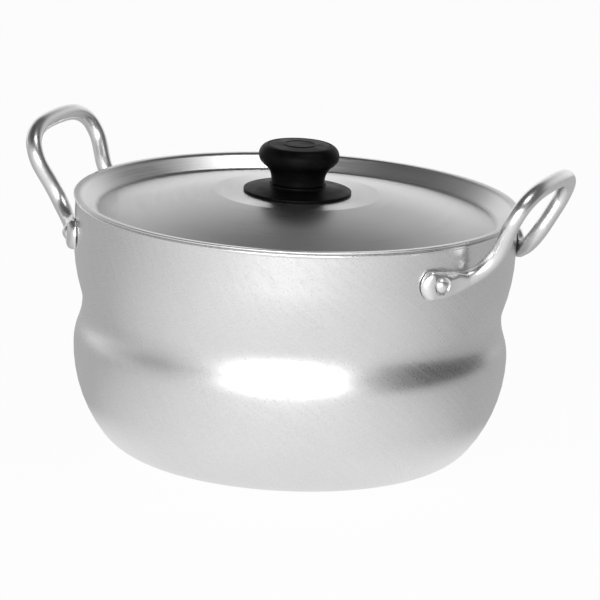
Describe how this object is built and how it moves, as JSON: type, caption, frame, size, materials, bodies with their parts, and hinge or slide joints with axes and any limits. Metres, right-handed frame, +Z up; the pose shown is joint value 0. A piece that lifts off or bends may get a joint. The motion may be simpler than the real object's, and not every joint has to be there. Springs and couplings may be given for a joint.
{
  "type": "cooking pot",
  "caption": "Lidded aluminium cooking pot with a rounded belly, drawn-in waist, riveted loop handles of bent rod and a drop-in lid with a black moulded knob.",
  "frame": {"origin": "centre of the flat base, on the surface that the pot stands on", "axes": "+Z up along the pot's axis, +X towards the right handle, -Y towards the front"},
  "size_m": [0.3056, 0.2472, 0.1766],
  "materials": {
    "brushed_aluminium": "fine satin brushing",
    "polished_aluminium": "polished, lightly worn",
    "black_phenolic": "semi-matte moulded",
    "brass": "turned",
    "plated_steel": "zinc plated"
  },
  "bodies": {
    "pot": {"pot_body": "brushed_aluminium", "right_handle": "polished_aluminium", "right_front_rivet": "polished_aluminium", "right_rear_rivet": "polished_aluminium", "left_handle": "polished_aluminium", "left_front_rivet": "polished_aluminium", "left_rear_rivet": "polished_aluminium"},
    "lid": {"lid_panel": "brushed_aluminium", "knob_skirt": "black_phenolic", "knob_grip": "black_phenolic", "knob_cap": "black_phenolic", "knob_insert": "brass", "knob_screw": "plated_steel", "knob_washer": "plated_steel"}
  },
  "joints": [
    {"name": "lid_lift", "type": "slide", "parent": "pot", "child": "lid", "axis": [0, 0, 1], "range_m": [0, 0.2]}
  ]
}
